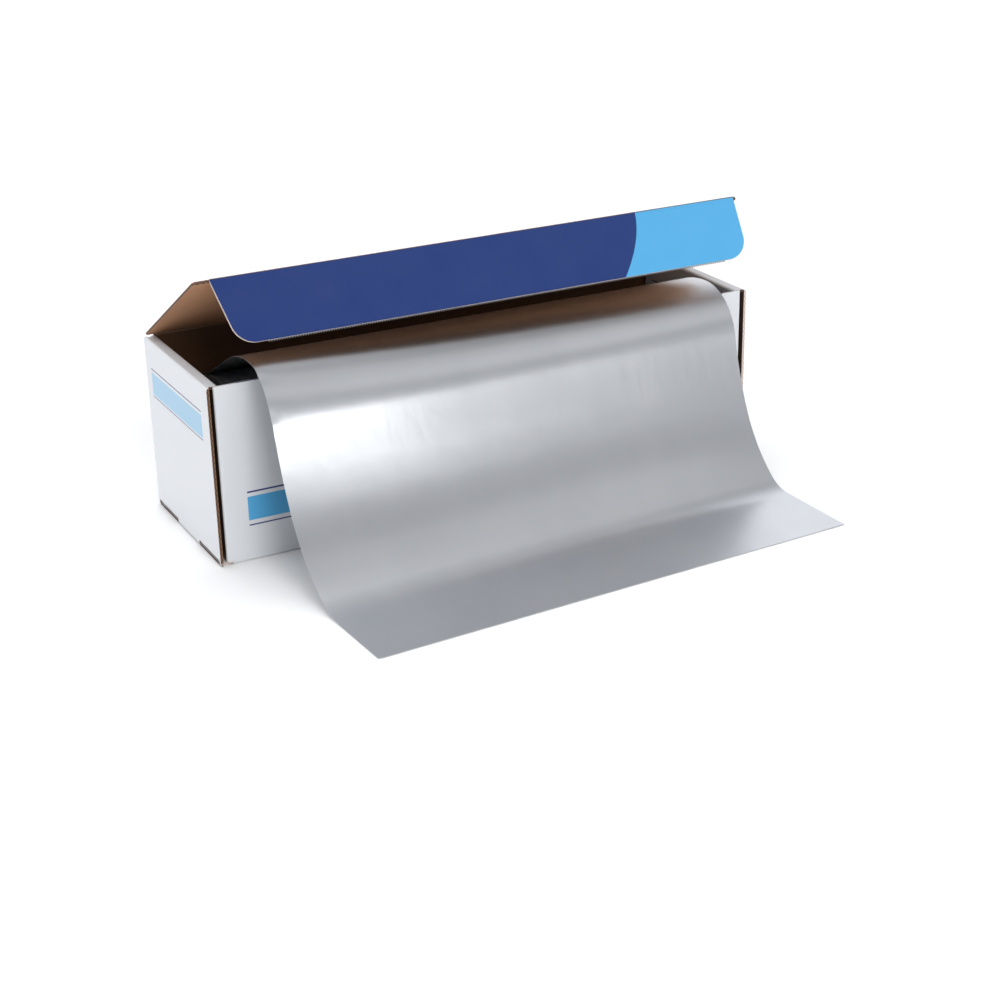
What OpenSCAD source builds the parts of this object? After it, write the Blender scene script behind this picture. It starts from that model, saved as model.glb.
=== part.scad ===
// Aluminium foil roll in its cutter carton, drawn with the lid part open and the foil pulled out.
// X runs along the roll, the front of the carton faces -Y and +Z is up.
// The origin is the centre of the carton's bottom face. Sizes are in millimetres.
// The carton is one folded blank of thin fluted board: the floor, front and back walls are
// one U, the end walls roll over the dust flaps and lock into slots in the floor's end creases.

/* [Foil roll] */
// Width of the foil
foil_w = 304.8; // [200:0.4:460]
// Outside diameter of the full roll
roll_d = 90; // [70:1:120]
// Distance that the roll sits to the right of the carton's middle
roll_x = 1.4; // [-3:0.2:3]
// Outside diameter of the paperboard core
core_d = 40; // [30:0.5:50]
// Wall of the core
core_wall = 3; // [2:0.25:5]
// How far the core stands out of each end of the foil
core_out = 3; // [1:0.5:4]
// Number of stepped turns shown on each end of the roll
turn_n = 9; // [3:1:14]
// Height of one stepped turn
turn_h = 0.35; // [0.15:0.05:0.6]

/* [Carton] */
// Room between each end of the foil and the end wall, with the roll in the middle
end_room = 13; // [9:0.5:30]
// Room between the roll and the front and back walls, both together
depth_room = 10.8; // [8:0.2:20]
// Room between the floor and the rim over and above the roll
head_room = 12.4; // [8:0.2:20]
// Thickness of the fluted board
board_t = 1.6; // [1.2:0.1:2]

/* [End walls] */
// Slit between the outer end wall and the dust flaps inside it
ply_slit = 2.4; // [0.6:0.1:3]
// Slack between the dust flaps and the inner end wall
inner_slack = 0.2; // [0.1:0.1:0.8]
// How far each dust flap reaches in from the wall that carries it
dust_flap_l = 42; // [15:1:46]
// Length of each locking tab along the end wall
tab_w = 32; // [12:1:34]
// Distance of each tab's centre from the middle of the end wall
tab_y = 34; // [19:0.5:34]
// Play of a tab in its slot
tab_play = 0.3; // [0.2:0.05:0.6]
// Height of a tab's slot up the end wall
slot_h = 3.4; // [2.6:0.1:6]
// Radius at the free corners of the dust flaps
dust_flap_r = 8; // [2:0.5:14]

/* [Front wall] */
// Depth of the hem folded down inside the front wall
hem_h = 16; // [8:1:24]
// Distance that the hem stops short of each front corner fold
hem_inset = 11; // [6:0.5:30]
// Width of the crease groove along the top of the hem
hem_groove_w = 0.4; // [0.2:0.05:0.8]
// Depth of the crease groove along the top of the hem
hem_groove_h = 1; // [0.5:0.1:1.4]

/* [Lid and flap] */
// Opening angle of the lid as drawn
lid_open = 30; // [0:1:110]
// Distance that each end of the lid stops short of the carton's end
lid_inset = 1.3; // [0:0.1:4]
// Radius at the front corners of the lid
lid_r = 3; // [1:0.5:8]
// Height of the front flap below its fold
flap_h = 37; // [26:0.5:60]
// Distance of the flap's left end from the lid's left end
flap_inset_left = 9; // [4:0.5:25]
// Distance of the flap's right end from the lid's right end
flap_inset_right = 3; // [3:0.5:25]
// How far the flap's left edge leans in from its fold to its foot
flap_lean = 8; // [0:0.5:16]
// Radius of the flap's lower corners
flap_r = 13; // [4:0.5:20]
// Room between the closed flap and the front wall for the foil
flap_room = 1.6; // [1:0.1:3]

/* [Cutter blade] */
// Distance that the blade stops short of each end of the flap's foot
blade_inset = 15.5; // [13.5:0.5:40]
// Height of the blade, teeth included
blade_h = 11; // [7:0.5:16]
// Thickness of the blade's steel strip
blade_t = 0.3; // [0.2:0.05:0.5]
// Pitch of the teeth
tooth_pitch = 1.5; // [1:0.5:4]
// Height of one tooth
tooth_h = 1.2; // [0.8:0.1:2.5]
// How far the tooth points stand below the flap's lower edge
blade_show = 0.9; // [0.4:0.1:2]
// Number of clinch bumps that hold the blade
clinch_n = 5; // [2:1:9]
// Diameter of a clinch bump
clinch_d = 3; // [1.5:0.5:4]
// Height of a clinch bump over the blade
clinch_h = 0.3; // [0.15:0.05:0.4]

/* [Drawn sheet] */
// Thickness that the drawn-out foil is given
sheet_t = 0.3; // [0.2:0.05:0.6]
// Radius of the gentle crest between the roll and the rim, over the roll's radius
crest_ratio = 1.489; // [1.2:0.001:1.6]
// Height of the crest over the rim at the sheet's left edge
crest_lift_left = 13.4; // [8:0.2:18]
// Height of the crest over the rim at the sheet's right edge
crest_lift_right = 5; // [4.4:0.2:10]
// Distance of the left crest behind the front wall's outer face
crest_back_left = 3; // [0:0.5:10]
// Distance of the right crest behind the front wall's outer face
crest_back_right = 15; // [8:0.5:15]
// Radius of the bend over the rim at the left edge
bend_r_left = 37; // [30:1:44]
// Radius of the bend over the rim at the right edge
bend_r_right = 32; // [30:1:40]
// Steepest slope of the sheet in front of the carton
fall_angle = 79; // [70:1:85]
// Angle that the sheet eases back in the fall
fall_ease = 12; // [0:1:14]
// Radius of the sweep that starts at the foot of the fall
sweep_r = 90; // [60:1:94]
// Slope of the sheet where it starts to settle on the table
settle_angle = 36; // [34:1:50]
// Radius that settles the left edge onto the table
settle_r_left = 48.5; // [20:0.5:70]
// Radius that settles the right edge onto the table
settle_r_right = 25.5; // [20:0.5:70]
// Length of the left edge that lies on the table
lay_l = 38; // [20:1:120]
// How much shorter the torn edge leaves the right edge
tear_skew = 17; // [-17:1:17]
// Sideways drift of the left edge at its free end
drift_left = 8; // [-4:0.1:12]
// Sideways drift of the right edge at its free end
drift_right = 1.8; // [-4:0.1:12]

/* [Clearances] */
// Gap between pieces that rest on or bend against each other
seat_gap = 0.3; // [0.2:0.05:0.5]
// Gap at a crease between two panels that move
crease_gap = 0.3; // [0.2:0.05:0.6]
// Glue line between the flap and the blade
glue_gap = 0.1; // [0.05:0.01:0.2]

/* [Hidden] */
$fn = 96;

// The end wall is a rolled stack: outer ply, slit, dust flap, slack, inner ply
stack_w = 3 * board_t + ply_slit + inner_slack;
// Outer faces of the carton, and the height of its rim, around the roll and its room
end_x = foil_w / 2 + end_room + stack_w;
wall_y = (roll_d + depth_room) / 2 + board_t;
carton_h = board_t + roll_d + head_room;
// Inner faces of the outer ply's slit and of the slack
dust_x = end_x - board_t - ply_slit;
inner_x = dust_x - board_t - inner_slack;
// Half length of the front and back walls, up to where the dust flaps fold in
u_half = dust_x - board_t;
// The lid's inner face closes just above the rim, its outer face carries both creases
lid_under = carton_h + seat_gap;
lid_top = lid_under + board_t;
// Fold line of the flap with the lid closed
fold_y = -wall_y - flap_room - board_t;
lid_half = end_x - lid_inset;
// Foot of the closed flap
flap_foot = lid_top - flap_h;
flap_left = -lid_half + flap_inset_left;
flap_right = lid_half - flap_inset_right;
// The blade sits in the middle of the flap's straight lower edge
blade_x = (flap_left + flap_lean + flap_right) / 2;
blade_l = flap_right - flap_left - flap_lean - 2 * blade_inset;
tooth_n = floor(blade_l / tooth_pitch);
blade_foot = flap_foot - blade_show;
// The roll lies on the floor and against the front wall
roll_r = roll_d / 2;
crest_r = crest_ratio * roll_r;
roll_y = -wall_y + board_t + seat_gap + roll_r;
roll_z = board_t + seat_gap + roll_r;
// Middle surface of the sheet where it lies on the table
table_z = seat_gap + sheet_t / 2;
// A hair for pieces that overlap or cut each other, and how far a cutter stands out of a face
eps = 0.01;
clear_out = 1;

// One quarter of a board fold: an arc of the board's thickness about its inner corner
module fold_corner(y, z, sy, sz) {
    translate([y, z])
        intersection() {
            circle(r = board_t);
            translate([sy > 0 ? 0 : -board_t, sz > 0 ? 0 : -board_t]) square(board_t);
        }
}

// Section of the U: floor, front wall and back wall, with the back wall mitred under the lid
module u_section() {
    top_cut = crease_gap * sqrt(2) / 2;
    translate([-wall_y + board_t, 0]) square([2 * (wall_y - board_t), board_t]);
    translate([-wall_y, board_t]) square([board_t, carton_h - board_t]);
    fold_corner(-wall_y + board_t, board_t, -1, -1);
    fold_corner(wall_y - board_t, board_t, 1, -1);
    polygon([
        [wall_y - board_t, board_t],
        [wall_y, board_t],
        [wall_y, lid_top - top_cut],
        [wall_y - board_t, lid_under - top_cut]
    ]);
}

// Section of the hem, hanging from a bridge at the rim with a groove along the crease
module hem_section() {
    inner_y = -wall_y + board_t;
    translate([inner_y + hem_groove_w, carton_h - hem_h]) square([board_t, hem_h - board_t]);
    translate([inner_y - eps, carton_h - board_t])
        square([hem_groove_w + 2 * eps, board_t - hem_groove_h]);
    fold_corner(inner_y + hem_groove_w, carton_h - board_t, 1, 1);
}

// A section in Y and Z drawn out along X between two ends
module along_x(x0, x1) {
    translate([x0, 0, 0]) rotate([90, 0, 90]) linear_extrude(x1 - x0) children();
}

// A section in X and Z drawn out along Y between two ends
module along_y(y0, y1) {
    translate([0, y1, 0]) rotate([90, 0, 0]) linear_extrude(y1 - y0) children();
}

// What a round takes off a corner at the origin, between the first axis and a side edge that
// leans back from the second. The round is a hair larger than its distance from both edges, so
// that it crosses them.
module corner_waste(r, lean = 0) {
    // distance from the corner to where the round meets each edge
    reach = r * tan(45 - lean / 2);
    out = [-cos(lean), -sin(lean)] * 2 * eps;
    difference() {
        polygon([
            [reach, -2 * eps],
            [reach, r],
            [-sin(lean), cos(lean)] * reach + out,
            out - [0, 2 * eps]
        ]);
        translate([reach, r]) circle(r = r + eps);
    }
}

// Plan of the fold that carries the back right dust flap, reaching a hair into the wall
module dust_fold() {
    fold_corner(u_half, wall_y - board_t, 1, 1);
    translate([u_half - eps, wall_y - board_t]) square([eps, board_t]);
}

// Front or back dust flap at the right end, turned in off its wall over a rounded fold
module dust_flap(side, fold_head) {
    foot = board_t + seat_gap;
    flap_head = carton_h - board_t - seat_gap;
    free_y = wall_y - board_t - dust_flap_l;
    mirror([0, side > 0 ? 0 : 1, 0]) {
        difference() {
            translate([0, 0, foot])
                linear_extrude(flap_head - foot) {
                    dust_fold();
                    translate([u_half, free_y]) square([board_t, dust_flap_l]);
                }
            along_x(u_half - clear_out, dust_x + clear_out)
                for (top = [0, 1])
                    translate([free_y, top > 0 ? flap_head : foot])
                        mirror([0, top]) corner_waste(dust_flap_r);
        }
        translate([0, 0, foot]) linear_extrude(fold_head - foot) dust_fold();
    }
}

// Outer ply of the right end wall in X and Z, with its folds at the floor and the rim
module outer_ply() {
    translate([end_x - board_t, board_t]) square([board_t, carton_h - 2 * board_t]);
    fold_corner(end_x - board_t, board_t, 1, -1);
    fold_corner(end_x - board_t, carton_h - board_t, 1, 1);
}

// Rim of the right end wall in X and Z, with the inner ply that hangs from it
module inner_ply() {
    translate([inner_x, carton_h - board_t]) square([end_x - board_t - inner_x, board_t]);
    fold_corner(inner_x, carton_h - board_t, -1, 1);
    translate([inner_x - board_t, board_t + seat_gap])
        square([board_t, carton_h - 2 * board_t - seat_gap]);
}

// Strip of floor between the U and the end crease, in X and Z
module floor_strip() {
    translate([u_half - eps, 0]) square([end_x - board_t - u_half + eps, board_t]);
}

// One locking tab: it passes down through its slot and turns out under the end wall
module lock_tab(y) {
    along_y(y - tab_w / 2, y + tab_w / 2) {
        translate([inner_x - board_t, tab_play]) square([board_t, slot_h]);
        translate([inner_x - eps, tab_play])
            square([end_x - tab_play - inner_x, board_t - tab_play]);
    }
}

// Slot for one tab, cut through the floor, the end crease and the foot of the end wall
module tab_slot(y) {
    translate([inner_x - board_t - tab_play, y - tab_w / 2 - tab_play, -eps])
        cube([stack_w + tab_play + clear_out, tab_w + 2 * tab_play, slot_h + eps]);
}

// Right end of the carton. The outer ply runs the full depth, the floor stops at the walls'
// inner faces, and the rim and the inner ply stop a slack inside them.
module carton_end() {
    floor_y = wall_y - board_t;
    inside_y = floor_y - inner_slack;
    difference() {
        union() {
            along_y(-wall_y, wall_y) outer_ply();
            along_y(-floor_y, floor_y) {
                outer_ply();
                floor_strip();
            }
            along_y(-inside_y, inside_y) {
                outer_ply();
                inner_ply();
            }
        }
        for (side = [-1, 1]) tab_slot(side * tab_y);
    }
    for (side = [-1, 1]) lock_tab(side * tab_y);
    dust_flap(-1, carton_h);
    dust_flap(1, lid_under - crease_gap);
}

// The folded carton without its lid
module tray() {
    hem_half = u_half - hem_inset;
    color("white") {
        difference() {
            along_x(-u_half, u_half) u_section();
            for (end = [0, 1], side = [-1, 1])
                mirror([end, 0, 0]) tab_slot(side * tab_y);
        }
        along_x(-hem_half, hem_half) hem_section();
        for (end = [0, 1]) mirror([end, 0, 0]) carton_end();
    }
}

// Poses a lid piece drawn closed at the opening angle of the photograph
module opened() {
    translate([0, wall_y, lid_top]) rotate([-lid_open, 0, 0]) translate([0, -wall_y, -lid_top])
        children();
}

// Section of the closed lid: both ends mitred so that the outer face carries the crease
module lid_section() {
    cut = crease_gap * sqrt(2) / 2;
    polygon([
        [fold_y + cut, lid_top],
        [wall_y - cut, lid_top],
        [wall_y - board_t - cut, lid_under],
        [fold_y + board_t + cut, lid_under]
    ]);
}

// What a round takes off the lid's front right corner
module lid_corner_waste() {
    translate([lid_half, fold_y, lid_under - clear_out])
        linear_extrude(board_t + 2 * clear_out) mirror([1, 0]) corner_waste(lid_r);
}

// Lid panel, with rounded front corners outside the flap
module lid_panel() {
    color("burlywood") opened()
        difference() {
            along_x(-lid_half, lid_half) lid_section();
            for (end = [0, 1])
                mirror([end, 0, 0]) lid_corner_waste();
        }
}

// Outline of the flap in X and Z, with a leaning left edge and round lower corners
module flap_outline() {
    difference() {
        polygon([
            [flap_left, lid_top],
            [flap_left + flap_lean, flap_foot],
            [flap_right, flap_foot],
            [flap_right, lid_top]
        ]);
        translate([flap_left + flap_lean, flap_foot])
            corner_waste(flap_r, atan(flap_lean / flap_h));
        translate([flap_right, flap_foot]) mirror([1, 0]) corner_waste(flap_r);
    }
}

// Front flap, mitred along its fold
module front_flap() {
    cut = crease_gap * sqrt(2) / 2;
    color("royalblue") opened()
        intersection() {
            along_y(fold_y, fold_y + board_t) flap_outline();
            along_x(flap_left - clear_out, flap_right + clear_out)
                polygon([
                    [fold_y, flap_foot - clear_out],
                    [fold_y + board_t, flap_foot - clear_out],
                    [fold_y + board_t, lid_under - cut],
                    [fold_y, lid_top - cut]
                ]);
        }
}

// Outline of the serrated strip in X and Z
module blade_outline() {
    saw_l = tooth_n * tooth_pitch;
    saw = [for (i = [0 : tooth_n - 1], tip = [0, 1])
        [(i + tip / 2) * tooth_pitch - saw_l / 2, blade_foot + (tip > 0 ? 0 : tooth_h)]];
    polygon(concat(
        saw,
        [[saw_l / 2, blade_foot + tooth_h]],
        [[saw_l / 2, blade_foot + blade_h]],
        [[-saw_l / 2, blade_foot + blade_h]]
    ));
}

// Serrated steel blade, glued and clinched to the inside of the flap
module cutter_blade() {
    back_y = fold_y + board_t + glue_gap;
    span = blade_l - blade_h * 2;
    color("silver") opened()
        translate([blade_x, 0, 0]) {
            along_y(back_y, back_y + blade_t) blade_outline();
            for (i = [0 : clinch_n - 1])
                translate([
                    span * (i / (clinch_n - 1) - 0.5),
                    back_y + blade_t - eps,
                    blade_foot + (tooth_h + blade_h) / 2
                ])
                    rotate([-90, 0, 0])
                        cylinder(d1 = clinch_d, d2 = clinch_d * 0.6, h = clinch_h + eps);
        }
}

// Spiral-wound paperboard tube
module core() {
    length = foil_w + 2 * core_out;
    color("tan")
        translate([roll_x - length / 2, roll_y, roll_z]) rotate([0, 90, 0])
            difference() {
                cylinder(d = core_d, h = length);
                translate([0, 0, -clear_out])
                    cylinder(d = core_d - 2 * core_wall, h = length + 2 * clear_out);
            }
}

// Half section of the wound foil: its ends step where turns stand out a little
module turns_section() {
    inner = core_d / 2 + glue_gap;
    step = (roll_r - inner) / turn_n;
    ends = [for (i = [0 : turn_n - 1], edge = [0, 1])
        [inner + (i + edge) * step, foil_w / 2 - (i % 2) * turn_h]];
    polygon(concat(
        ends,
        [for (i = [len(ends) - 1 : -1 : 0]) [ends[i][0], -ends[i][1]]]
    ));
}

// The turns of foil on the core
module foil_roll() {
    color("gainsboro")
        translate([roll_x, roll_y, roll_z]) rotate([0, 90, 0])
            rotate_extrude() turns_section();
}

// Walks along arcs: each leg is [length, turn, steps], a state is [forward, up, heading]
function leg_step(s, d, turn) =
    let (mid = s[2] + turn / 2)
    [s[0] + d * cos(mid), s[1] + d * sin(mid), s[2] + turn];
function walk_leg(s, leg, i = 0) =
    i == leg[2] ? [] :
    let (n = leg_step(s, leg[0] / leg[2], leg[1] / leg[2]))
    concat([n], walk_leg(n, leg, i + 1));
function walk(s, legs, k = 0) =
    k == len(legs) ? [] :
    let (part = walk_leg(s, legs[k]))
    concat(part, walk(part[len(part) - 1], legs, k + 1));
function last(list) = list[len(list) - 1];
function leg_sum(legs, k = 0) = k == len(legs) ? 0 : legs[k][0] + leg_sum(legs, k + 1);
function arc_l(r, turn) = r * turn * PI / 180;

// The sheet's middle surface wraps the roll and the crest as a belt wraps two pulleys
wrap_r = roll_r + seat_gap + sheet_t / 2;

// From the roll's centre to the centre of the round under a crest at [forward, up]
function centres(crest) = [crest[0] + roll_y, crest[1] - crest_r - roll_z];

// Heading of the belt's straight run between the roll and that crest
function leave_angle(crest) =
    let (d = centres(crest))
    atan2(d[1], d[0]) - asin((wrap_r - crest_r) / norm(d));

// Height that an arc of a radius takes up between two slopes
function arc_drop(r, steep, shallow) = r * (cos(shallow) - cos(steep));

// Length of the steep fall that brings an edge down to the table over its other rounds
foot_slope = fall_angle - fall_ease;
function fall_length(edge) =
    let (
        rounds = arc_drop(edge[1], fall_angle, 0)
            + arc_drop(sweep_r, foot_slope, settle_angle)
            + arc_drop(edge[2], settle_angle, 0)
    )
    (edge[0][1] - table_z - rounds) / sin(fall_angle - fall_ease / 2);

// Legs of one edge, from the roll over the rim and down to where it starts to settle.
// An edge is [crest, radius over the rim, radius onto the table].
function upper_legs(edge) =
    let (leave = leave_angle(edge[0]))
    [
        [sqrt(pow(norm(centres(edge[0])), 2) - pow(wrap_r - crest_r, 2)), 0, 3],
        [arc_l(crest_r, leave), -leave, 6],
        [arc_l(edge[1], fall_angle), -fall_angle, 12],
        [fall_length(edge), fall_ease, 3],
        [arc_l(sweep_r, foot_slope - settle_angle), foot_slope - settle_angle, 6]
    ];

// Points of those legs, starting at the tangent point on the roll
function upper_path(edge) =
    let (
        leave = leave_angle(edge[0]),
        start = [-roll_y - wrap_r * sin(leave), roll_z + wrap_r * cos(leave), leave]
    )
    concat([start], walk(start, upper_legs(edge)));

// Leg that settles the sheet from the height it has reached onto the table
function settle_leg(up) =
    let (r = (up - table_z) / (1 - cos(settle_angle)))
    [arc_l(r, settle_angle), settle_angle, 9];

// Length of one edge without the stretch that lies flat
function edge_l(edge) = leg_sum(upper_legs(edge)) + settle_leg(last(upper_path(edge))[1])[0];

// Whole path of one edge
function sheet_path(edge, lay) =
    let (down = upper_path(edge))
    concat(down, walk(last(down), [settle_leg(last(down)[1]), [lay, 0, 3]]));

// Both edges as rings of four corners, upper face first
function ring(l, r, share) =
    let (
        half = sheet_t / 2,
        xl = roll_x - foil_w / 2 + drift_left * share,
        xr = roll_x + foil_w / 2 + drift_right * share,
        nl = [-sin(l[2]), cos(l[2])] * half,
        nr = [-sin(r[2]), cos(r[2])] * half
    )
    [
        [xl, -l[0] - nl[0], l[1] + nl[1]],
        [xr, -r[0] - nr[0], r[1] + nr[1]],
        [xr, -r[0] + nr[0], r[1] - nr[1]],
        [xl, -l[0] + nl[0], l[1] - nl[1]]
    ];

// The foil drawn off the roll, as one thin ruled sheet between its two edges
module foil_sheet() {
    left_edge = [
        [wall_y - crest_back_left, carton_h + crest_lift_left], bend_r_left, settle_r_left
    ];
    right_edge = [
        [wall_y - crest_back_right, carton_h + crest_lift_right], bend_r_right, settle_r_right
    ];
    // both edges have the same length of foil, apart from the slant of the tear
    lay_r = lay_l - tear_skew + edge_l(left_edge) - edge_l(right_edge);
    left = sheet_path(left_edge, lay_l);
    right = sheet_path(right_edge, lay_r);
    n = len(left);
    points = [for (i = [0 : n - 1]) each ring(left[i], right[i], pow(i / (n - 1), 2))];
    sides = [for (i = [0 : n - 2], k = [0 : 3])
        let (a = 4 * i + k, b = 4 * i + (k + 1) % 4)
        each [[a, b, b + 4], [a, b + 4, a + 4]]];
    foot = 4 * (n - 1);
    ends = [[0, 3, 2], [0, 2, 1], [foot, foot + 1, foot + 2], [foot, foot + 2, foot + 3]];
    color("lightgray") polyhedron(points = points, faces = concat(sides, ends));
}

tray();
lid_panel();
front_flap();
cutter_blade();
core();
foil_roll();
foil_sheet();
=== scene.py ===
import logging
import math
from dataclasses import dataclass, field
from enum import Enum
from functools import reduce
from typing import NamedTuple, Sequence, Union

import bmesh
import bpy
import numpy as np
from mathutils import Matrix, Vector


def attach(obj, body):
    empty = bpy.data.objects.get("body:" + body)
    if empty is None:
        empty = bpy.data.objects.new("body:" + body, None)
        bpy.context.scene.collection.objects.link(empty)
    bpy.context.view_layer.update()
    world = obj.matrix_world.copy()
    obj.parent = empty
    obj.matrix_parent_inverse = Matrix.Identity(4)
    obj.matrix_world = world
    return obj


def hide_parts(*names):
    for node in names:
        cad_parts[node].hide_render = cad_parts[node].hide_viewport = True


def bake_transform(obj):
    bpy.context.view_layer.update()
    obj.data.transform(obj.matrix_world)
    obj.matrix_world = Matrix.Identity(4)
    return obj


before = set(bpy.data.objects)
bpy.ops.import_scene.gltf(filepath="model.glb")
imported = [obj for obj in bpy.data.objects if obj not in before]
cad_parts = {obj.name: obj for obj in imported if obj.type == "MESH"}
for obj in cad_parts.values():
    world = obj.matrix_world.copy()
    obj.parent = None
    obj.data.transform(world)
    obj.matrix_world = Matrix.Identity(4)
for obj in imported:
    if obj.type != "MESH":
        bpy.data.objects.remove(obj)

# The foil roll in its cutter carton. Lengths named *_mm and all masks are in millimetres,
# every mesh is in metres. X runs along the roll, the front of the carton faces -Y.

log = logging.getLogger("foil_carton")
MM = 0.001
PER_METRE = 1000.0

Pair = tuple[float, float]
Triple = tuple[float, float, float]
# What a node's input takes: a number, a node (its first live output) or an output
Source = Union[float, bpy.types.Node, bpy.types.NodeSocket]
Sockets = bpy.types.bpy_prop_collection

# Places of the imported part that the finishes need, in millimetres
BOARD_T = 1.6
END_X, WALL_Y, RIM_Z = 172.8, 52.0, 104.0
INNER_FACE_X, DUST_X = 165.4, 168.8
HEM_X, HEM_BACK_Y, HEM_FOOT_Z = 156.2, -48.2, 87.9
HEM_PLY_Y = (-50.1, -48.3)
FOLD_Y, FOLD_Z = -55.2, 105.6
# Middles of the boards whose edges are cut
BACK_MID_Y, HEM_MID_Y, FLAP_MID_Y, LID_MID_Z = 51.2, -49.2, -54.4, 105.1
LID_OPEN = math.radians(30)
HINGE = Vector((0, 52.0, 105.9)) * MM
FOLD = Vector((0, -40.838, 159.5)) * MM
ROLL_X, ROLL_Y, ROLL_Z, ROLL_R = 1.4, -5.1, 46.9, 45.0
# A face looks along an axis where that part of its normal is over this
SQUARE_ON = 0.7

MATH = "ShaderNodeMath"
VECTOR = "ShaderNodeVectorMath"
# Sockets of a colour mix
FACTOR, UNDER, OVER = 0, 6, 7


class Side(Enum):
    """Panels of the blank that carry a finish of their own."""

    TRAY = "tray"
    LID = "lid_panel"
    FLAP = "front_flap"


def srgb(code: str) -> tuple[float, float, float, float]:
    """Linear colour of an sRGB hex code."""
    parts = [int(code[i:i + 2], 16) / 255 for i in (1, 3, 5)]
    return (*(c / 12.92 if c <= 0.04045 else ((c + 0.055) / 1.055) ** 2.4 for c in parts), 1.0)


def connect(tree: bpy.types.NodeTree, node: bpy.types.Node, inputs: dict) -> None:
    """Links or sets a node's inputs.

    Args:
        tree: The node tree.
        node: The node.
        inputs: Socket name or number to a value, a socket or a node (its first live output).
    """
    for name, value in inputs.items():
        if isinstance(value, bpy.types.Node):
            value = next(s for s in value.outputs if s.enabled)
        if isinstance(value, bpy.types.NodeSocket):
            tree.links.new(value, node.inputs[name])
        else:
            node.inputs[name].default_value = value


def add(tree: bpy.types.NodeTree, kind: str, inputs: dict | None = None,
        **settings) -> bpy.types.Node:
    """Adds one node with its settings and links.

    Args:
        tree: The node tree.
        kind: Blender's name of the node.
        inputs: What its inputs take, as for connect.
        settings: Attributes of the node.

    Returns:
        The new node.
    """
    made = tree.nodes.new(kind)
    for name, value in settings.items():
        setattr(made, name, value)
    connect(tree, made, inputs or {})
    return made


@dataclass(frozen=True)
class Masks:
    """Masks and layers of one material's node tree."""

    tree: bpy.types.NodeTree

    def between(self, value: Source, low: float, high: float) -> bpy.types.Node:
        """1 where a value lies between two others."""
        return add(self.tree, MATH, {0: value, 1: (low + high) / 2, 2: (high - low) / 2},
                   operation="COMPARE")

    def over(self, value: Source, edge: Source) -> bpy.types.Node:
        """1 where a value is greater than the edge."""
        return add(self.tree, MATH, {0: value, 1: edge}, operation="GREATER_THAN")

    def under(self, value: Source, edge: Source) -> bpy.types.Node:
        """1 where a value is less than the edge."""
        return add(self.tree, MATH, {0: value, 1: edge}, operation="LESS_THAN")

    def all_of(self, *masks: Source) -> Source:
        """1 where every mask is."""
        return reduce(lambda a, b: add(self.tree, MATH, {0: a, 1: b}, operation="MULTIPLY"), masks)

    def any_of(self, *masks: Source) -> Source:
        """1 where one of the masks is."""
        return reduce(lambda a, b: add(self.tree, MATH, {0: a, 1: b}, operation="MAXIMUM"), masks)

    def none_of(self, mask: Source) -> bpy.types.Node:
        """1 where the mask isn't."""
        return add(self.tree, MATH, {0: 1.0, 1: mask}, operation="SUBTRACT")

    def layer(self, under: Source, mask: Source, over: Source) -> bpy.types.Node:
        """One colour laid over another through a mask."""
        return add(self.tree, "ShaderNodeMix", {FACTOR: mask, UNDER: under, OVER: over},
                   data_type="RGBA")

    def blend(self, low: Source, high: Source, mask: Source) -> bpy.types.Node:
        """One number mixed into another through a mask."""
        return add(self.tree, "ShaderNodeMix", {0: mask, 2: low, 3: high}, data_type="FLOAT")

    def grain(self, place: Source, scale: Sequence[float], detail: float) -> bpy.types.Node:
        """Noise over a place in millimetres, with its own scale along each axis."""
        stretched = add(self.tree, VECTOR, {0: place, 1: scale}, operation="MULTIPLY")
        return add(self.tree, "ShaderNodeTexNoise",
                   {"Vector": stretched, "Scale": 1.0, "Detail": detail, "Roughness": 0.6})

    def off_axis(self, in_mm: Source) -> tuple[bpy.types.Node, bpy.types.NodeSocket]:
        """Takes a place to the roll's axis.

        Args:
            in_mm: The place, in millimetres.

        Returns:
            The place as seen from the axis, and its distance to that axis.
        """
        off = add(self.tree, VECTOR, {0: in_mm, 1: (0, ROLL_Y, ROLL_Z)}, operation="SUBTRACT")
        flat = add(self.tree, VECTOR, {0: off, 1: (0, 1, 1)}, operation="MULTIPLY")
        return off, add(self.tree, VECTOR, {0: flat}, operation="LENGTH").outputs["Value"]


def blank(name: str) -> tuple[bpy.types.Material, Masks, bpy.types.Node]:
    """Starts a material.

    Args:
        name: Name of the material.

    Returns:
        The material, the masks of its node tree and its shader.
    """
    made = bpy.data.materials.new(name)
    made.use_nodes = True
    return made, Masks(made.node_tree), made.node_tree.nodes["Principled BSDF"]


@dataclass(frozen=True)
class Print:
    """The carton's print, as flat fields of colour without any words.

    Bands and lines are given by their lower and upper edges in millimetres. The light field of
    lid and flap ends at a curve that leaves the fold at `field_x` and sweeps back from there.
    """

    dark: str = "#0E2E6C"
    light: str = "#4DA1D2"
    pale: str = "#97BFD8"
    line: str = "#23356E"
    end_y: Pair = (-40.0, 43.0)
    end_band: Pair = (72.0, 85.3)
    end_lines: tuple[Pair, Pair] = ((87.1, 87.8), (70.5, 71.1))
    front_x: Pair = (-154.5, 152.0)
    front_band: Pair = (24.0, 38.0)
    front_lines: tuple[Pair, Pair] = ((40.2, 41.2), (20.8, 21.6))
    # not print: a dark line painted as shade in the groove along the hem's top, drawn in the line
    # colour
    hem_groove_shade_y: Pair = (-51.3, -50.1)
    field_x: float = 99.6
    sweep_mm: float = 16.9
    sweep_reach_mm: float = 36.5
    sweep_power: float = 1.75
    # the curve is drawn four times longer over the lid than over the flap
    lid_share: float = 0.25


class Regions(NamedTuple):
    """Where each look of the board lies on one panel, and the outer liner's printed colour.

    `outside` masks the outer liner and `raw` the cut edges. `across` is the place across a cut
    edge, from the board's middle, and `along` the place along it, in millimetres.
    """

    outside: Source
    raw: Source
    across: Source
    along: Source
    printed: Source


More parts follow.
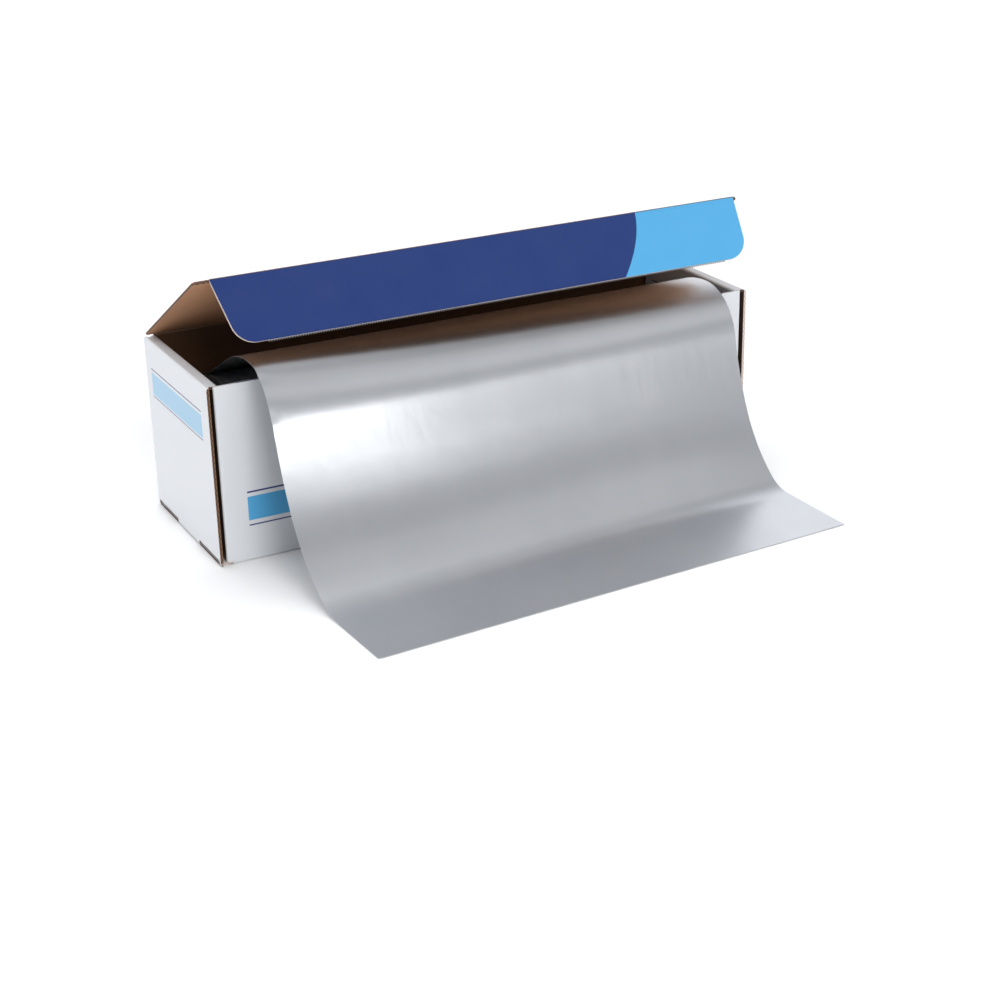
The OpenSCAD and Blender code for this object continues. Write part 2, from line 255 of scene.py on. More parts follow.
@dataclass(frozen=True)
class BoardFinish:
    """Fluted board: a clay-coated white liner outside, brown kraft liner on the inner face, raw cut
    edges.

    The masks come from the place and facing of each point in the closed carton, so they stay
    with the board when its panel turns.
    """

    side: Side
    ink: Print = field(default_factory=Print)
    coated: str = "#D4D6D9"
    coated_dull: str = "#C9CBD0"
    kraft: str = "#C0906B"
    kraft_dark: str = "#95694B"
    # inside the tray the kraft is painted much darker than the lid's, as painted shade of the
    # carton's interior
    tray_kraft_painted_shade: str = "#573F2D"
    tray_kraft_dark_painted_shade: str = "#45301F"
    pulp: str = "#5E432C"
    # raw edge and flute-gap colours come as a darker painted-shade copy and a paler painted-light
    # copy; the dark flute gaps are painted shade
    edge: str = "#8C7564"
    edge_painted_lit: str = "#F0E6E1"
    flute_gap_painted_shade: str = "#43342A"
    flute_gap_painted_lit: str = "#B7A093"
    flute_mm: float = 3.2
    wave_mm: float = 0.42
    liner_mm: float = 0.56
    paper_mm: float = 0.17
    ridge_mm: float = 0.004
    tooth_mm: float = 0.012
    furrow_mm: float = 0.35
    kraft_rough: float = 0.88
    coat_rough: Pair = (0.36, 0.46)

    def material(self) -> bpy.types.Material:
        """Builds the board's material for one panel.

        Returns:
            The material.
        """
        made, m, shader = blank(f"coated_board_{self.side.value}")
        tree = m.tree
        coords = add(tree, "ShaderNodeTexCoord")
        place, facing = coords.outputs["Object"], coords.outputs["Normal"]
        if self.side is not Side.TRAY:
            place = add(tree, "ShaderNodeVectorRotate",
                        {"Vector": place, "Center": HINGE, "Angle": LID_OPEN},
                        rotation_type="X_AXIS")
            facing = add(tree, "ShaderNodeVectorRotate", {"Vector": facing, "Angle": LID_OPEN},
                         rotation_type="X_AXIS")
        in_mm = add(tree, VECTOR, {0: place, "Scale": PER_METRE}, operation="SCALE")
        at = add(tree, "ShaderNodeSeparateXYZ", {0: in_mm}).outputs
        to = add(tree, "ShaderNodeSeparateXYZ", {0: facing}).outputs
        look = self.regions(m, at, to)

        # brown kraft: long fibres, and specks of darker pulp
        fibres = m.grain(in_mm, (0.16, 1.9, 1.9), 5)
        specks = m.grain(in_mm, (1.6, 1.6, 1.6), 2)
        speck = add(tree, "ShaderNodeMapRange",
                    {"Value": specks, "From Min": 0.62, "From Max": 0.72, "To Max": 0.55})
        in_tray = self.side is Side.TRAY
        # in the tray both kraft colours are painted shade; the lid and flap keep the kraft's own
        # colours
        liner, shade = (self.tray_kraft_painted_shade, self.tray_kraft_dark_painted_shade) if in_tray else (self.kraft, self.kraft_dark)
        kraft = m.layer(m.layer(srgb(liner), fibres, srgb(shade)), speck, srgb(self.pulp))
        # white coat: faint cloudy mottle, as clay coating shows over kraft
        cloud = add(tree, "ShaderNodeMapRange",
                    {"Value": m.grain(in_mm, (0.05, 0.05, 0.05), 4), "From Min": 0.35,
                     "From Max": 0.75, "To Max": 0.35})
        coat = m.layer(look.printed, cloud, m.layer(look.printed, 0.03, srgb(self.coated_dull)))
        cut, paper = self.cut_edge(m, at, look, specks)
        colour = m.layer(m.layer(kraft, look.outside, coat), look.raw, cut)
        shiny = m.all_of(look.outside, m.none_of(look.raw))
        rough = m.blend(self.kraft_rough, m.blend(*self.coat_rough, cloud), shiny)
        connect(tree, shader, {"Base Color": colour, "Roughness": rough, "IOR": 1.5,
                               "Normal": self.relief(m, in_mm, at, look, paper)})
        return made

    def cut_edge(self, m: Masks, at: Sockets, look: Regions,
                 specks: Source) -> tuple[bpy.types.Node, Source]:
        """A raw edge: two liners with the flute's wave between them, the gaps of the flutes painted
        dark as shade.

        Args:
            m: The material's masks.
            at: Place in the closed carton, in millimetres.
            look: The panel's regions.
            specks: Grain of the pulp.

        Returns:
            The edge's colour, and the mask of paper against the gaps of the flutes.
        """
        tree = m.tree
        turns = add(tree, MATH, {0: look.along, 1: 2 * math.pi / self.flute_mm},
                    operation="MULTIPLY")
        wave = add(tree, MATH, {0: turns}, operation="SINE")
        middle = add(tree, MATH, {0: wave, 1: self.wave_mm}, operation="MULTIPLY")
        off = add(tree, MATH, {0: look.across, 1: middle}, operation="SUBTRACT")
        near = m.under(add(tree, MATH, {0: off}, operation="ABSOLUTE"), self.paper_mm)
        liners = m.over(add(tree, MATH, {0: look.across}, operation="ABSOLUTE"), self.liner_mm)
        paper = m.any_of(liners, near)
        # painted light and shade: paler, as lit, on the flap and at the far end, a little at the
        # foot's tabs; darker elsewhere
        pale = 1.0 if self.side is Side.FLAP else 0.0
        if self.side is Side.TRAY:
            pale = m.any_of(m.over(at["X"], 160.0), m.all_of(m.under(at["Z"], 2.0), 0.5))
        edge_paper_lit_and_shaded = m.layer(srgb(self.edge), specks, srgb(self.kraft_dark))
        edge_paper_lit_and_shaded = m.layer(edge_paper_lit_and_shaded, pale, srgb(self.edge_painted_lit))
        flute_gap_painted_shade = m.layer(srgb(self.flute_gap_painted_shade), pale, srgb(self.flute_gap_painted_lit))
        return m.layer(flute_gap_painted_shade, paper, edge_paper_lit_and_shaded), paper

    def relief(self, m: Masks, in_mm: Source, at: Sockets, look: Regions,
               paper: Source) -> bpy.types.Node:
        """Washboard of the flutes under the liner, a fine paper tooth, and the flutes' gaps sunk in.

        Args:
            m: The material's masks.
            in_mm: Place in the closed carton, in millimetres.
            at: The same, by axis.
            look: The panel's regions.
            paper: Mask of paper against the gaps of the flutes.

        Returns:
            The bump node.
        """
        tree = m.tree
        turns = add(tree, MATH, {0: at["X"], 1: 2 * math.pi / self.flute_mm},
                    operation="MULTIPLY")
        ridges = add(tree, MATH, {0: add(tree, MATH, {0: turns}, operation="SINE"),
                                  1: self.ridge_mm}, operation="MULTIPLY")
        tooth = add(tree, MATH, {0: m.grain(in_mm, (2.5, 2.5, 2.5), 3), 1: self.tooth_mm},
                    operation="MULTIPLY")
        furrow = add(tree, MATH, {0: m.all_of(look.raw, m.none_of(paper)), 1: -self.furrow_mm},
                     operation="MULTIPLY")
        height = add(tree, MATH, {0: add(tree, MATH, {0: ridges, 1: tooth}, operation="ADD"),
                                  1: furrow}, operation="ADD")
        return add(tree, "ShaderNodeBump", {"Height": height, "Distance": MM, "Strength": 1.0})

    def regions(self, m: Masks, at: Sockets, to: Sockets) -> Regions:
        """Says where each look of the board lies on this panel.

        Args:
            m: The material's masks.
            at: Place in the closed carton, in millimetres.
            to: Facing in the closed carton.

        Returns:
            The panel's regions.
        """
        if self.side is Side.TRAY:
            return self.tray_regions(m, at, to)
        if self.side is Side.LID:
            return self.lid_regions(m, at, to)
        return self.flap_regions(m, at, to)

    def tray_regions(self, m: Masks, at: Sockets, to: Sockets) -> Regions:
        """Outer faces, rims, hem and inner plies are white; the tray's inner faces are brown.

        Args:
            m: The material's masks.
            at: Place, in millimetres.
            to: Facing.

        Returns:
            The tray's regions.
        """
        tree = m.tree
        wide = add(tree, MATH, {0: at["X"]}, operation="ABSOLUTE")
        deep = add(tree, MATH, {0: at["Y"]}, operation="ABSOLUTE")
        sideways = add(tree, MATH, {0: to["X"]}, operation="ABSOLUTE")
        frontal = add(tree, MATH, {0: to["Y"]}, operation="ABSOLUTE")
        hem = m.all_of(m.under(at["Y"], HEM_BACK_Y), m.over(at["Z"], HEM_FOOT_Z),
                       m.any_of(m.over(to["Y"], 0.3), m.over(to["Z"], 0.3)))
        ends = m.all_of(m.over(wide, INNER_FACE_X - 0.1), m.any_of(
            m.over(to["Z"], 0.2),
            m.all_of(m.under(wide, INNER_FACE_X + 0.5), m.over(sideways, SQUARE_ON))))
        fold = m.all_of(m.between(wide, DUST_X - 1.8, DUST_X + 0.1), m.over(deep, WALL_Y - 1.5))
        foot = m.all_of(m.under(at["Z"], 2.4), m.under(to["Z"], -0.05), m.over(deep, WALL_Y - 3),
                        m.under(wide, INNER_FACE_X))
        shell = m.any_of(m.over(wide, END_X - 0.2), m.under(at["Z"], 0.15), fold, foot,
                         m.all_of(m.over(deep, WALL_Y - 0.2), m.under(wide, DUST_X)))
        outside = m.any_of(hem, ends, shell)

        # raw edges: of the outer plies, the hem, the back wall's crease and the tabs
        ply_edge = m.all_of(m.over(wide, END_X - BOARD_T - 0.1), m.over(frontal, 0.9))
        hem_end = m.all_of(m.between(wide, HEM_X - 0.2, HEM_X + 0.3), m.over(sideways, SQUARE_ON))
        hem_edge = m.all_of(m.between(at["Y"], *HEM_PLY_Y), m.over(at["Z"], HEM_FOOT_Z),
                            m.any_of(m.under(to["Z"], -SQUARE_ON), hem_end))
        back_edge = m.all_of(m.over(at["Y"], WALL_Y - 1.8), m.over(at["Z"], RIM_Z - 0.4),
                             m.over(to["Z"], 0.4), m.under(wide, DUST_X - 1.5))
        tabs = m.all_of(m.over(wide, INNER_FACE_X - 0.4), m.under(at["Z"], 2.0), m.over(frontal, 0.9))
        raw = m.any_of(ply_edge, hem_edge, back_edge, tabs)
        across_walls = m.blend(
            add(tree, MATH, {0: at["Y"], 1: BACK_MID_Y}, operation="SUBTRACT"),
            add(tree, MATH, {0: at["Y"], 1: HEM_MID_Y}, operation="SUBTRACT"),
            m.under(at["Y"], 0.0))
        across_ends = add(tree, MATH, {0: wide, 1: END_X - BOARD_T / 2}, operation="SUBTRACT")
        across = m.blend(across_walls, across_ends, m.over(wide, DUST_X + 1.2))
        along = m.blend(at["X"], at["Z"], m.over(wide, HEM_X - 0.3))
        return Regions(outside, raw, across, along, self.tray_print(m, at, to))

    def tray_print(self, m: Masks, at: Sockets, to: Sockets) -> bpy.types.Node:
        """Bands of the end panels and of the front panel, and a dark line painted as shade in the
        hem's groove.

        Args:
            m: The material's masks.
            at: Place, in millimetres.
            to: Facing.

        Returns:
            The colour of the outer liner.
        """
        ink = self.ink
        end = m.over(add(m.tree, MATH, {0: to["X"]}, operation="ABSOLUTE"), SQUARE_ON)
        end = m.all_of(end, m.between(at["Y"], *ink.end_y))
        front = m.all_of(m.under(to["Y"], -SQUARE_ON), m.between(at["X"], *ink.front_x))
        colour = m.layer(srgb(self.coated), m.all_of(end, m.between(at["Z"], *ink.end_band)),
                         srgb(ink.pale))
        colour = m.layer(colour, m.all_of(front, m.between(at["Z"], *ink.front_band)),
                         srgb(ink.light))
        lines = [m.all_of(panel, m.any_of(*(m.between(at["Z"], *edges) for edges in pair)))
                 for panel, pair in ((end, ink.end_lines), (front, ink.front_lines))]
        # painted shade: a dark line along the groove between the front wall and its hem
        groove_shade = m.all_of(m.over(at["Z"], RIM_Z - 0.6), m.between(at["Y"], *ink.hem_groove_shade_y),
                         m.between(at["X"], -HEM_X, HEM_X))
        return m.layer(colour, m.any_of(*lines, groove_shade), srgb(ink.line))

    def fields(self, m: Masks, at: Sockets, reach: Source) -> bpy.types.Node:
        """Dark field on the left and light field on the right, parted by a swept curve.

        Args:
            m: The material's masks.
            at: Place in the closed carton, in millimetres.
            reach: Distance from the fold, in millimetres of the flap.

        Returns:
            The colour of the outer liner.
        """
        ink = self.ink
        share = add(m.tree, MATH, {0: reach, 1: ink.sweep_reach_mm}, operation="DIVIDE")
        swept = add(m.tree, MATH, {0: share, 1: ink.sweep_power}, operation="POWER")
        edge = add(m.tree, MATH, {0: swept, 1: -ink.sweep_mm, 2: ink.field_x},
                   operation="MULTIPLY_ADD")
        return m.layer(srgb(ink.dark), m.over(at["X"], edge), srgb(ink.light))

    def lid_regions(self, m: Masks, at: Sockets, to: Sockets) -> Regions:
        """The lid: print above, kraft below, raw ends and front corners.

        Args:
            m: The material's masks.
            at: Place in the closed carton, in millimetres.
            to: Facing in the closed carton.

        Returns:
            The lid's regions.
        """
        tree = m.tree
        raw = m.under(add(tree, MATH, {0: to["Z"]}, operation="ABSOLUTE"), 0.9)
        across = add(tree, MATH, {0: at["Z"], 1: LID_MID_Z}, operation="SUBTRACT")
        sideways = add(tree, MATH, {0: to["X"]}, operation="ABSOLUTE")
        along = m.blend(at["X"], at["Y"], m.over(sideways, SQUARE_ON))
        back = add(tree, MATH, {0: at["Y"], 1: FOLD_Y}, operation="SUBTRACT")
        reach = add(tree, MATH, {0: back, 1: self.ink.lid_share}, operation="MULTIPLY")
        return Regions(m.over(to["Z"], SQUARE_ON), raw, across, along, self.fields(m, at, reach))

    def flap_regions(self, m: Masks, at: Sockets, to: Sockets) -> Regions:
        """The flap: print on its outer face, kraft on its inner face, raw edges.

        Args:
            m: The material's masks.
            at: Place in the closed carton, in millimetres.
            to: Facing in the closed carton.

        Returns:
            The flap's regions.
        """
        tree = m.tree
        raw = m.under(add(tree, MATH, {0: to["Y"]}, operation="ABSOLUTE"), 0.9)
        across = add(tree, MATH, {0: at["Y"], 1: FLAP_MID_Y}, operation="SUBTRACT")
        sideways = add(tree, MATH, {0: to["X"]}, operation="ABSOLUTE")
        along = m.blend(at["X"], at["Z"], m.over(sideways, SQUARE_ON))
        down = add(tree, MATH, {0: FOLD_Z, 1: at["Z"]}, operation="SUBTRACT")
        reach = add(tree, MATH, {0: down, 1: 0.0}, operation="MAXIMUM")
        return Regions(m.under(to["Y"], -SQUARE_ON), raw, across, along,
                       self.fields(m, at, reach))


@dataclass(frozen=True)
class FoilFinish:
    """Household aluminium foil, the bright side out.

    Rolling leaves fine lines along the web, so the gloss spreads across it. The lines and a
    slight unevenness in roughness are what tells foil from a mirror. The lines are drawn about
    0.5 mm apart, coarser than real ones, so that they show.
    """

    colour: str = "#E4E6E9"
    dull: str = "#CDD0D4"
    roughness: float = 0.32
    spread: float = 0.2
    lines: Triple = (2.2, 0.02, 1)
    line_mm: float = 0.00006
    cloud_mm: float = 0.11

    def material(self) -> bpy.types.Material:
        """Builds the foil's material over the flat map of the web.

        Returns:
            The material.
        """
        made, m, shader = blank("aluminium_foil_drawn")
        tree = m.tree
        web = add(tree, "ShaderNodeUVMap", uv_map="web")
        in_mm = add(tree, VECTOR, {0: web, "Scale": PER_METRE}, operation="SCALE")
        lines = m.grain(in_mm, self.lines, 2)
        broad = m.grain(in_mm, (0.02, 0.012, 1.0), 2)
        rough = add(tree, "ShaderNodeMapRange", {"Value": lines, "From Min": 0.3, "From Max": 0.7,
                                                 "To Min": self.roughness - 0.03,
                                                 "To Max": self.roughness + 0.05})
        tone = add(tree, "ShaderNodeMapRange", {"Value": broad, "From Min": 0.35,
                                                "From Max": 0.7, "To Max": 0.25})
        colour = m.layer(srgb(self.colour), tone, srgb(self.dull))
        clouds = add(tree, MATH, {0: m.grain(in_mm, (0.06, 0.045, 1.0), 2), 1: self.cloud_mm},
                     operation="MULTIPLY")
        height = add(tree, MATH, {0: lines, 1: self.line_mm, 2: clouds},
                     operation="MULTIPLY_ADD")
        bump = add(tree, "ShaderNodeBump", {"Height": height, "Distance": MM, "Strength": 1.0})
        tangent = add(tree, "ShaderNodeTangent", direction_type="UV_MAP", uv_map="web")
        connect(tree, shader, {"Base Color": colour, "Roughness": rough, "Normal": bump,
                               "Tangent": tangent, "Metallic": 1.0, "Anisotropic": self.spread})
        return made


@dataclass(frozen=True)
class RollFinish:
    """The wound turns: foil on the round, and on the ends the edges of thousands of turns.

    A real turn is 0.016 mm thick. The rings are drawn about 0.25 mm apart, so that they show.
    """

    colour: str = "#D9DBDE"
    groove: str = "#8E9195"
    groove_mm: float = 0.12
    roughness: Pair = (0.3, 0.42)

    def material(self) -> bpy.types.Material:
        """Builds the roll's material from the distance to its axis.

        Returns:
            The material.
        """
        made, m, shader = blank("wound_aluminium_foil")
        tree = m.tree
        place = add(tree, "ShaderNodeTexCoord").outputs["Object"]
        in_mm = add(tree, VECTOR, {0: place, "Scale": PER_METRE}, operation="SCALE")
        _, radius = m.off_axis(in_mm)
        rings = m.grain(add(tree, "ShaderNodeCombineXYZ", {"X": radius}), (4.0, 1, 1), 3)
        end = m.under(radius, ROLL_R - 0.1)
        shown = m.all_of(end, rings)
        colour = m.layer(srgb(self.colour), shown, srgb(self.groove))
        height = add(tree, MATH, {0: shown, 1: self.groove_mm}, operation="MULTIPLY")
        bump = add(tree, "ShaderNodeBump", {"Height": height, "Distance": MM, "Strength": 0.8})
        rough = m.blend(*self.roughness, end)
        connect(tree, shader, {"Base Color": colour, "Roughness": rough, "Normal": bump,
                               "Metallic": 1.0})
        return made


@dataclass(frozen=True)
class TubeFinish:
    """Spiral-wound grey-brown paperboard: plies at its ends, a spiral seam along it."""

    board: str = "#9C7F60"
    fibre: str = "#856A4E"
    seam: str = "#6E563E"
    seam_mm: float = 0.5
    ply_mm: float = 0.5
    glue_mm: float = 0.12
    strip_mm: float = 62.0
    nap_mm: float = 0.06
    roughness: float = 0.82

    def material(self) -> bpy.types.Material:
        """Builds the core's material.

        Returns:
            The material.
        """
        made, m, shader = blank("spiral_paperboard")
        tree = m.tree
        coords = add(tree, "ShaderNodeTexCoord").outputs
        in_mm = add(tree, VECTOR, {0: coords["Object"], "Scale": PER_METRE}, operation="SCALE")
        off, radius = m.off_axis(in_mm)
        at = add(tree, "ShaderNodeSeparateXYZ", {0: off}).outputs
        angle = add(tree, MATH, {0: at["Z"], 1: at["Y"]}, operation="ARCTAN2")
        climb = add(tree, MATH, {0: angle, 1: self.strip_mm / (2 * math.pi), 2: at["X"]},
                    operation="MULTIPLY_ADD")
        seam = m.under(add(tree, MATH, {0: climb, 1: self.strip_mm}, operation="FLOORED_MODULO"),
                       self.seam_mm)
        plies = m.under(add(tree, MATH, {0: radius, 1: self.ply_mm}, operation="FLOORED_MODULO"),
                        self.glue_mm)
        facing = add(tree, "ShaderNodeSeparateXYZ", {0: coords["Normal"]}).outputs
        end = m.over(add(tree, MATH, {0: facing["X"]}, operation="ABSOLUTE"), SQUARE_ON)
        fibres = m.grain(in_mm, (0.9, 0.9, 0.9), 5)
        colour = m.layer(srgb(self.board), fibres, srgb(self.fibre))
        dark = m.any_of(m.all_of(end, plies), m.all_of(m.none_of(end), seam))
        colour = m.layer(colour, dark, srgb(self.seam))
        height = add(tree, MATH, {0: fibres, 1: self.nap_mm}, operation="MULTIPLY")
        bump = add(tree, "ShaderNodeBump", {"Height": height, "Distance": MM, "Strength": 1.0})
        connect(tree, shader, {"Base Color": colour, "Normal": bump,
                               "Roughness": self.roughness})
        return made


@dataclass(frozen=True)
class BladeFinish:
    """Cold-rolled steel strip: fine drawn lines along its length."""

    colour: str = "#B9BCBF"
    drawn: str = "#8F9397"
    roughness: float = 0.34
    line_mm: float = 0.006

    def material(self) -> bpy.types.Material:
        """Builds the blade's material.

        Returns:
            The material.
        """
        made, m, shader = blank("cold_rolled_steel")
        tree = m.tree
        place = add(tree, "ShaderNodeTexCoord").outputs["Object"]
        in_mm = add(tree, VECTOR, {0: place, "Scale": PER_METRE}, operation="SCALE")
        drawn = m.grain(in_mm, (0.05, 9.0, 9.0), 3)
        colour = m.layer(srgb(self.colour), drawn, srgb(self.drawn))
        rough = m.blend(self.roughness - 0.06, self.roughness + 0.1, drawn)
        height = add(tree, MATH, {0: drawn, 1: self.line_mm}, operation="MULTIPLY")
        bump = add(tree, "ShaderNodeBump", {"Height": height, "Distance": MM, "Strength": 1.0})
        connect(tree, shader, {"Base Color": colour, "Roughness": rough, "Normal": bump,
                               "Metallic": 1.0})
        return made


@dataclass(frozen=True)
class CreaseFinish:
    """The board's liner where a fold has worn through to brown fibres, painted darker as the shade
    inside the carton.
    """

    # worn-through fibres, painted darker than the board's kraft as shade of the carton's interior
    worn_fibre_painted_shade: str = "#5B4638"
    pale: str = "#7C6351"
    nap_mm: float = 0.05
    roughness: float = 0.9

    def material(self) -> bpy.types.Material:
        """Builds the rubbed crease's material.

        Returns:
            The material.
        """
        made, m, shader = blank("worn_kraft_crease_painted_shade")
        tree = m.tree
        place = add(tree, "ShaderNodeTexCoord").outputs["Object"]
        in_mm = add(tree, VECTOR, {0: place, "Scale": PER_METRE}, operation="SCALE")
        fibres = m.grain(in_mm, (0.7, 2.5, 2.5), 5)
        colour = m.layer(srgb(self.worn_fibre_painted_shade), fibres, srgb(self.pale))
        height = add(tree, MATH, {0: fibres, 1: self.nap_mm}, operation="MULTIPLY")
        bump = add(tree, "ShaderNodeBump", {"Height": height, "Distance": MM, "Strength": 1.0})
        connect(tree, shader, {"Base Color": colour, "Normal": bump,
                               "Roughness": self.roughness})
        return made


def dress(node: str, material: bpy.types.Material) -> None:
    """Gives a CAD node its material.

    Args:
        node: Name of the node.
        material: The material for all of its faces.
    """
    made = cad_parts[node]
    for place in made.material_slots:
        place.material = material
    if not made.material_slots:
        made.data.materials.append(material)


def grid_mesh(name: str, points: np.ndarray, web: np.ndarray | None = None) -> bpy.types.Object:
    """Makes a smooth mesh from a grid of points.

    Args:
        name: Name of the piece.
        points: Rows by columns by three, in metres.
        web: Rows by columns by two, the place of each point on the flat web, in metres.

    Returns:
        The new object, linked to the scene.
    """
    rows, columns = points.shape[:2]
    index = np.arange(rows * columns).reshape(rows, columns)
    faces = np.stack([index[:-1, :-1], index[:-1, 1:], index[1:, 1:], index[1:, :-1]], -1)
    mesh = bpy.data.meshes.new(name)
    mesh.from_pydata(points.reshape(-1, 3).tolist(), [], faces.reshape(-1, 4).tolist())
    if web is not None:
        layer = mesh.uv_layers.new(name="web")
        corners = np.empty(len(mesh.loops), int)
        mesh.loops.foreach_get("vertex_index", corners)
        layer.data.foreach_set("uv", web.reshape(-1, 2)[corners].ravel())
    mesh.polygons.foreach_set("use_smooth", [True] * len(mesh.polygons))
    mesh.update()
    made = bpy.data.objects.new(name, mesh)
    bpy.context.scene.collection.objects.link(made)
    return made


def ramp(value: np.ndarray, start: float, end: float) -> np.ndarray:
    """How far a value is on its way from start to end, held at 0 and 1."""
    return np.clip((value - start) / (end - start), 0, 1)


def smooth(share: np.ndarray) -> np.ndarray:
    """Eases a share from 0 to 1 at both ends."""
    return share ** 2 * (3 - 2 * share)


@dataclass(frozen=True)
class Edge:
    """One edge of the drawn sheet, in millimetres: how far forward and up its crest over the rim
    lies, the radius over the crest, the wider radius into the fall, and the radius that settles
    it onto the table."""

    forward: float
    up: float
    bend: float
    spread: float
    settle: float


@dataclass(frozen=True)
class Ripple:
    """One slow wave of the hanging web: height and lengths in millimetres, phase in radians."""

    height: float
    across: float
    along: float
    phase: float


@dataclass
class DrawnSheet:
    """The foil that leaves the roll, rises over the rim and falls onto the table.

    It is one web: a full turn on the roll, then the drawn length. Both edges follow arcs and
    straight runs, and the web is ruled between them. The radii `wrap_mm` and `crest_mm` are
    those of the web on the roll and of its rise to the crest, `sweep_mm` that of the long
    sweep out of the fall. The slopes `over`, `fall`, `ease` and `settle` are in degrees.
    """

    left: Edge = Edge(58.5, 117.5, 20, 42, 48.5)
    right: Edge = Edge(37, 109, 32, 32, 25.5)
    width_mm: float = 304.8
    lay_mm: float = 38
    skew_mm: float = 17
    drift_mm: Pair = (8, 1.8)
    table_mm: float = 0.45
    wrap_mm: float = 45.45
    under_mm: float = ROLL_R + 0.06
    crest_mm: float = 67.005
    sweep_mm: float = 90
    over: float = 40
    fall: float = 79
    ease: float = 12
    settle: float = 36
    turn_rows: int = 72
    columns: int = 111
    # length of web since the roll at which it has reached the crest and is well past it
    crest_span: Pair = (70, 150)
    draw_back: float = 1.0
    thick_mm: float = 0.1
    # narrow strips along the rim keep the shading of the thin rim out of the web
    rim_mm: float = 0.05
    rim_share: float = 1e-4
    ripples: tuple[Ripple, ...] = (Ripple(0.45, 57, 43, 0.4), Ripple(0.2, 31, -34, 1.3))
    flutter_mm: float = 0.3
    finish: FoilFinish = field(default_factory=FoilFinish)

    @staticmethod
    def arc(radius: float, turn: float) -> float:
        """Length of an arc, its turn in degrees."""
        return radius * math.radians(turn)

    @staticmethod
    def drop(radius: float, steep: float, shallow: float) -> float:
        """Height that an arc takes up between two slopes in degrees."""
        return radius * (math.cos(math.radians(shallow)) - math.cos(math.radians(steep)))

    def legs(self, edge: Edge) -> tuple[Triple, list[tuple[float, float, int]]]:
        """The start on the roll and the legs of one edge.

        Args:
            edge: The edge.

        Returns:
            The start as (forward, up, heading), and legs as (length, turn, steps).
        """
        ahead, above = edge.forward + ROLL_Y, edge.up - self.crest_mm - ROLL_Z
        span = math.hypot(ahead, above)
        grown = self.wrap_mm - self.crest_mm
        leave = math.degrees(math.atan2(above, ahead) - math.asin(grown / span))
        run = math.sqrt(span ** 2 - grown ** 2)
        foot = self.fall - self.ease
        down = (edge.up - self.table_mm - self.drop(edge.bend, self.over, 0)
                - self.drop(edge.spread, self.fall, self.over)
                - self.drop(self.sweep_mm, foot, self.settle)
                - self.drop(edge.settle, self.settle, 0))
        down /= math.sin(math.radians(self.fall - self.ease / 2))
        start = (-ROLL_Y - self.wrap_mm * math.sin(math.radians(leave)),
                 ROLL_Z + self.wrap_mm * math.cos(math.radians(leave)), leave)
        return start, [
            (run, 0, 8), (self.arc(self.crest_mm, leave), -leave, 10),
            (self.arc(edge.bend, self.over), -self.over, 14),
            (self.arc(edge.spread, self.fall - self.over), self.over - self.fall, 14),
            (down, self.ease, 16),
            (self.arc(self.sweep_mm, foot - self.settle), foot - self.settle, 14),
            (self.arc(edge.settle, self.settle), self.settle, 16)]

    @staticmethod
    def walk(start: Triple, legs: list[tuple[float, float, int]]) -> np.ndarray:
        """Follows the legs of one edge.

        Args:
            start: Where the edge leaves the roll, as (forward, up, heading).
            legs: The legs, as (length, turn, steps).

        Returns:
            Points of the edge, as rows of forward, up, heading and length so far.
        """
        out = [(*start, 0.0)]
        for length, turn, steps in legs:
            for _ in range(steps):
                x, z, heading, gone = out[-1]
                middle = math.radians(heading + turn / steps / 2)
                step = length / steps
                out.append((x + step * math.cos(middle), z + step * math.sin(middle),
                            heading + turn / steps, gone + step))
        return np.array(out)

    def turn(self, leave: float) -> np.ndarray:
        """The outermost turn on the roll, from under the web round to where it leaves.

        Args:
            leave: Slope at which the web leaves the roll, in degrees.

        Returns:
            Rows as those of walk, with lengths below zero.
        """
        behind = np.linspace(350, 0, self.turn_rows, endpoint=False)
        rise = smooth(ramp(behind, 50, 0))
        radius = self.under_mm + (self.wrap_mm - self.under_mm) * rise
        angle = np.radians(leave + behind)
        return np.stack([-ROLL_Y - radius * np.sin(angle), ROLL_Z + radius * np.cos(angle),
                         leave + behind, -radius * np.radians(behind)], -1)

    def edges(self) -> tuple[np.ndarray, np.ndarray, np.ndarray]:
        """Both edges of the web, with one length of foil but for the skew of its torn end.

        Returns:
            The left and the right edge as rows of walk, and how far each row has drifted
            sideways, from 0 to 1.
        """
        (s_left, l_legs), (s_right, r_legs) = self.legs(self.left), self.legs(self.right)
        gap = sum(leg[0] for leg in l_legs) - sum(leg[0] for leg in r_legs)
        rim = (self.rim_mm, 0, 1)
        left = self.walk(s_left, l_legs + [(self.lay_mm - self.rim_mm, 0, 12), rim])
        right = self.walk(s_right, r_legs + [
            (self.lay_mm - self.rim_mm - self.skew_mm + gap, 0, 12), rim])
        drift = (np.arange(len(left)) / (len(left) - 1)) ** 2
        return (np.concatenate([self.turn(s_left[2]), left]),
                np.concatenate([self.turn(s_right[2]), right]),
                np.concatenate([np.zeros(self.turn_rows), drift]))

    def build(self) -> None:
        """Builds the web as one piece that stands in for the plain sheet."""
        left, right, drift = self.edges()
        across = np.concatenate([
            [0], np.linspace(self.rim_share, 1 - self.rim_share, self.columns), [1]])
        x_left = ROLL_X - self.width_mm / 2 + self.drift_mm[0] * drift
        x_right = ROLL_X + self.width_mm / 2 + self.drift_mm[1] * drift
